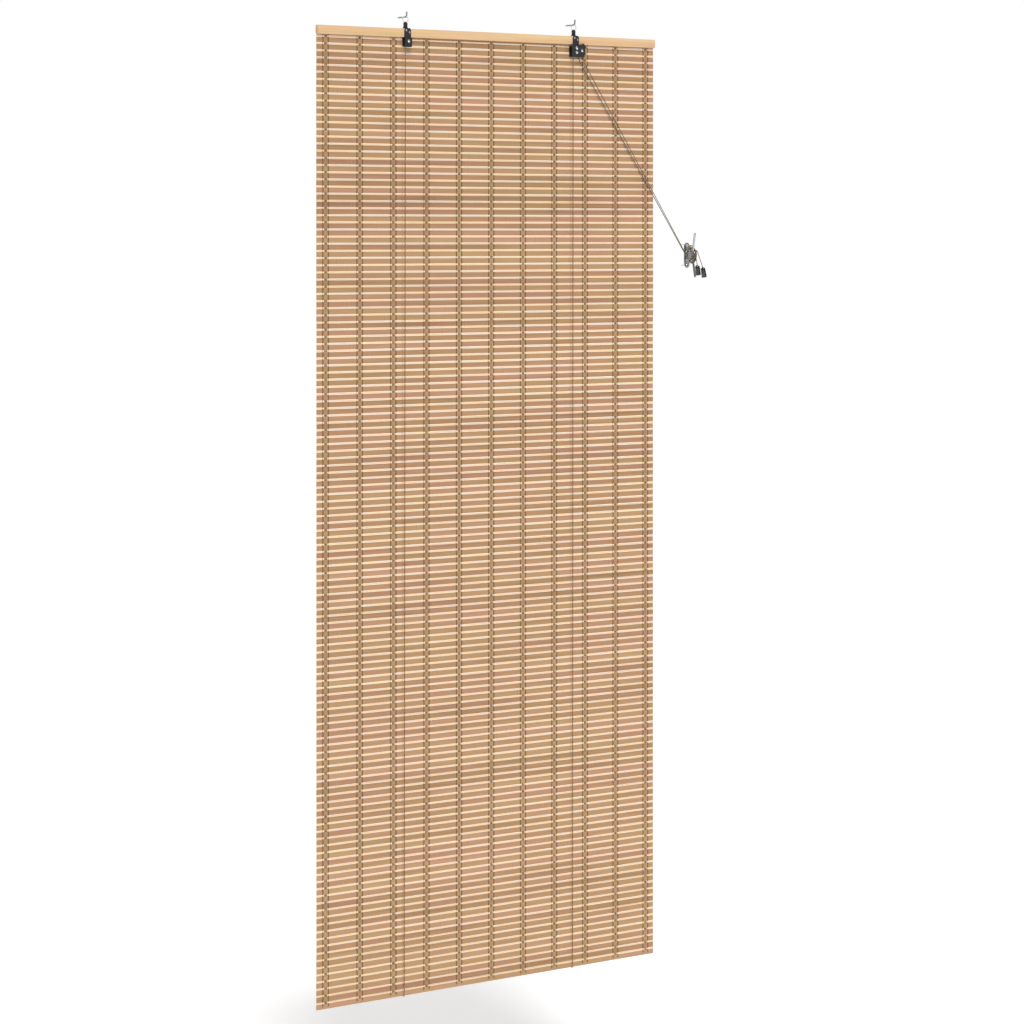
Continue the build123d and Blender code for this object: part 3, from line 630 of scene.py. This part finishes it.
def add_ties(bm, first_row, rows, draw):
    """The warp over some rows: in each column, the front strands show on the slats and the others on
    the sticks."""
    last = first_row + rows - 1
    for column in THREAD_COLUMNS:
        for offset in FRONT_STRANDS + BACK_STRANDS:
            front = offset in FRONT_STRANDS
            slat_y = MAT_Y + (-1 if front else 1) * OUTSIDE_SLAT
            line = []
            for row in range(last, first_row - 1, -1):
                x = column + (offset + draw.uniform(-0.3, 0.3)) * MM
                slat_z = FIRST_SLAT - row * PITCH
                if row == last:
                    line.append((x, slat_y, slat_z))
                line += weave_points(x, slat_z, front)
                line.append((x, slat_y, slat_z + PITCH))
            radius, sides, flat = FRONT_STRAND_SHAPE if front else BACK_STRAND_SHAPE
            add_tube(bm, [Vector(p) for p in line], radius, sides, across=(1, 0, 0), flat=flat)


def make_mat(finishes):
    """The slats and sticks, flat above the roll line and row by row below it, and the threads."""
    slat_heights = [FIRST_SLAT - row * PITCH for row in range(ROWS)]
    stick_heights = [FIRST_STICK - row * PITCH for row in range(ROWS)]
    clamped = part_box("clamped_slat")
    middle = (clamped[0].z + clamped[1].z) / 2
    blind = "hanging_blind"
    slats_piece("slats_of_the_mat", slat_heights[:ROWS_ABOVE], finishes, blind, ["wide_slats"], seed=3)
    slats_piece("slat_in_the_rail", [middle], finishes, blind, ["clamped_slat"], seed=4)
    sticks_piece("sticks_of_the_mat", stick_heights[:ROWS_ABOVE], finishes, blind, ["thin_sticks"], seed=5)
    for n, (node, body) in enumerate(zip(ROLLING, ROLLING_BODIES)):
        slat, stick = slat_heights[ROWS_ABOVE + n], stick_heights[ROWS_ABOVE + n]
        slats_piece(f"rolling_slat_{n + 1:02d}", [slat], finishes, body, [node], seed=20 + n)
        sticks_piece(f"rolling_stick_{n + 1:02d}", [stick], finishes, body, [node], seed=60 + n)
    make_ties(finishes)


def make_ties(finishes):
    """The warp threads: long ones down the flat mat, and a short piece for each row that rolls."""
    draw = random.Random(11)
    quarter = ROWS_ABOVE // 4
    for part in range(4):
        bm = bmesh.new()
        add_ties(bm, part * quarter, quarter, draw)
        piece = new_piece(
            f"warp_threads_{part + 1}", bm, finishes["thread"], "hanging_blind", ["warp_threads"]
        )
        smooth(piece)
    for n in range(len(ROLLING)):
        bm = bmesh.new()
        add_ties(bm, ROWS_ABOVE + n, 1, draw)
        piece = new_piece(
            f"rolling_threads_{n + 1:02d}", bm, finishes["thread"], None, ["lower_warp_threads"]
        )
        smooth(piece)
        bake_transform(piece)


# ---- CAD pieces that are kept --------------------------------------------------------------------


def repaint(nodes, material):
    """Gives CAD nodes a finish of this scene."""
    for node in nodes:
        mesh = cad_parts[node].data
        mesh.materials.clear()
        mesh.materials.append(material)


# ---- The cleat and the bells ---------------------------------------------------------------------


def remeshed(bm, name, voxel):
    """The overlapping shapes of a bmesh, melted together into one smooth skin."""
    mesh = bpy.data.meshes.new(name)
    bm.to_mesh(mesh)
    bm.free()
    holder = bpy.data.objects.new(name, mesh)
    bpy.context.scene.collection.objects.link(holder)
    melt = holder.modifiers.new("melt", "REMESH")
    melt.mode = "VOXEL"
    melt.voxel_size = voxel
    ease = holder.modifiers.new("ease", "SMOOTH")
    ease.factor = 0.7
    ease.iterations = 6
    skin = bpy.data.meshes.new_from_object(holder.evaluated_get(bpy.context.evaluated_depsgraph_get()))
    bpy.data.objects.remove(holder)
    smooth_bm = bmesh.new()
    smooth_bm.from_mesh(skin)
    bpy.data.meshes.remove(skin)
    return smooth_bm


def add_block(bm, size, middle):
    """A block of this size in millimetres, with its middle at a point in metres."""
    block = bmesh.ops.create_cube(bm, size=1.0)["verts"]
    bmesh.ops.scale(bm, verts=block, vec=[side * MM for side in size])
    bmesh.ops.translate(bm, verts=block, vec=middle)


def make_cleat(finishes):
    """A cast cleat: an oblong foot, a neck and two horns that curve out from the wall."""
    low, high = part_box("cord_cleat")
    x = (low.x + high.x) / 2
    z = (low.z + high.z) / 2
    bm = bmesh.new()
    route = line_points([(x, y * MM, z + dz * MM) for y, dz in HORN_LINE])
    horn_radius = HORN_RADIUS * MM
    radii = []
    for here in route:
        # each tip is rounded over its last radius
        from_tip = min(1.0, min((here - tip).length for tip in (route[0], route[-1])) / horn_radius)
        radii.append(horn_radius * max(0.1, math.sqrt(1 - (1 - from_tip) ** 2)))
    add_tube(bm, route, radii, 16, across=(1, 0, 0), flat=HORN_FLATNESS)
    add_block(bm, NECK_SIZE, (x, NECK_Y * MM, z))
    foot_y = -FOOT_THICKNESS / 2 * MM
    add_block(bm, (FOOT_WIDTH, FOOT_THICKNESS, FOOT_STRAIGHT), (x, foot_y, z))
    lying = Matrix.Rotation(math.radians(90), 4, "X")
    for end in (-1, 1):
        cap = bmesh.ops.create_cone(
            bm, cap_ends=True, segments=32, radius1=FOOT_WIDTH / 2 * MM, radius2=FOOT_WIDTH / 2 * MM,
            depth=FOOT_THICKNESS * MM, matrix=lying,
        )["verts"]
        bmesh.ops.translate(bm, verts=cap, vec=(x, foot_y, z + end * FOOT_STRAIGHT / 2 * MM))
    bmesh.ops.recalc_face_normals(bm, faces=bm.faces)
    skin = remeshed(bm, "wall_cleat", CLEAT_VOXEL * MM)
    cleat = new_piece("wall_cleat", skin, finishes["chrome"], "wall_fixings", ["cord_cleat"])
    smooth(cleat, 60)


def make_bell(name, node, top, lean, finishes):
    """A turned bell on a cord's end: a collar, a rounded shoulder, a flared wall and a rolled rim."""
    bm = bmesh.new()
    verts = [bm.verts.new((radius * MM, 0, -depth * MM)) for radius, depth in BELL_PROFILE]
    edges = [bm.edges.new(pair) for pair in zip(verts, verts[1:])]
    bmesh.ops.spin(
        bm, geom=verts + edges, cent=(0, 0, 0), axis=(0, 0, 1), angle=2 * math.pi, steps=40,
        use_merge=True, use_duplicate=False,
    )
    bmesh.ops.remove_doubles(bm, verts=bm.verts, dist=0.01 * MM)
    bmesh.ops.recalc_face_normals(bm, faces=bm.faces)
    turn = Matrix.Rotation(math.radians(-lean), 4, "Y")
    bmesh.ops.transform(bm, matrix=Matrix.Translation(Vector(top)) @ turn, verts=bm.verts)
    bell = new_piece(name, bm, finishes["bell"], "wall_fixings", [node])
    smooth(bell, 50)
    return bell


# ---- Making the cords ----------------------------------------------------------------------------


def cord_piece(name, route, material, replaces, knot=None):
    """A twisted cord along its route, with a ball at its knot if it has one, on no body yet."""
    bm = bmesh.new()
    add_tube(bm, route, CORD_RADIUS, 12, marked=True)
    if knot:
        ball = bmesh.ops.create_uvsphere(bm, u_segments=16, v_segments=10, radius=KNOT_RADIUS)["verts"]
        bmesh.ops.translate(bm, verts=ball, vec=knot)
    bmesh.ops.recalc_face_normals(bm, faces=bm.faces)
    piece = new_piece(name, bm, material, None, replaces)
    smooth(piece, 80)
    return piece


def make_lift_cords(finishes):
    """Both lift cords, each in three runs: behind the mat, in front of it and over the pulleys."""
    yarn = finishes["cord"]
    rise = ROLL_LINE - ROLL_HEIGHT - MAT_BOTTOM
    for side, points in (("left", LEFT_LIFT), ("right", RIGHT_LIFT)):
        route = line_points(points)
        lowest = min(range(len(route)), key=lambda n: route[n].z)
        top_z = points[FRONT_RUN_TOP][2]
        bend = next(n for n in range(lowest, len(route)) if route[n].z > top_z)
        node = [f"{side}_lift_cord"]
        over = cord_piece(f"{side}_cord_over_pulleys", route[bend:], yarn, node)
        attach(over, "hanging_blind")
        behind = cord_piece(f"{side}_cord_behind", route[:lowest + 1], yarn, node, knot=points[0])
        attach(behind, "hanging_blind")
        keep = 1 - rise / (points[0][2] - MAT_BOTTOM)
        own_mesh(behind)
        before = cord_piece(f"{side}_cord_in_front", route[lowest:bend + 1], yarn, node)
        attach(before, "hanging_blind")
        lean = Vector((0, -ROLL_DEPTH, rise)).normalized()
        keep = 1 - math.hypot(ROLL_DEPTH, rise) / ((route[bend].z - MAT_BOTTOM) * lean.z)
        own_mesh(before)


def make_pull_cords(finishes):
    """Both pull cords, wound round the cleat, with their bells."""
    cords = (("left", LEFT_PULL, LEFT_BELL_LEAN), ("right", RIGHT_PULL, RIGHT_BELL_LEAN))
    for side, points, lean in cords:
        route = line_points(points)
        bell = make_bell(f"{side}_bell", f"{side}_cord_bell", points[-1], lean, finishes)
        nodes = [f"{side}_pull_cord", "cord_wrap"]
        cord = cord_piece(f"{side}_pull_cord_twist", route, finishes["pull_cord"], nodes)
        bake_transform(cord)


# ---- The whole blind -----------------------------------------------------------------------------

add_camera()
add_light()
add_floor()
finishes = make_finishes()
make_lift_cords(finishes)
make_pull_cords(finishes)
make_cleat(finishes)
make_mat(finishes)
repaint(["head_rail", "back_lath"], finishes["rail"])
repaint(["left_bracket", "right_bracket", "left_housing_back", "right_housing_back"], finishes["black"])
repaint(["left_pulley_wheel", "upper_pulley_wheel", "lower_pulley_wheel"], finishes["wheel"])
repaint(
    ["left_pulley_axle", "upper_pulley_axle", "lower_pulley_axle", "lock_cam_pin", "lock_cam", "rail_nails",
     "left_bracket_screws", "right_bracket_screws", "cleat_screws"],
    finishes["zinc"],
)
repaint(["left_wall_hook", "right_wall_hook", "left_hanging_ring", "right_hanging_ring"], finishes["wire"])
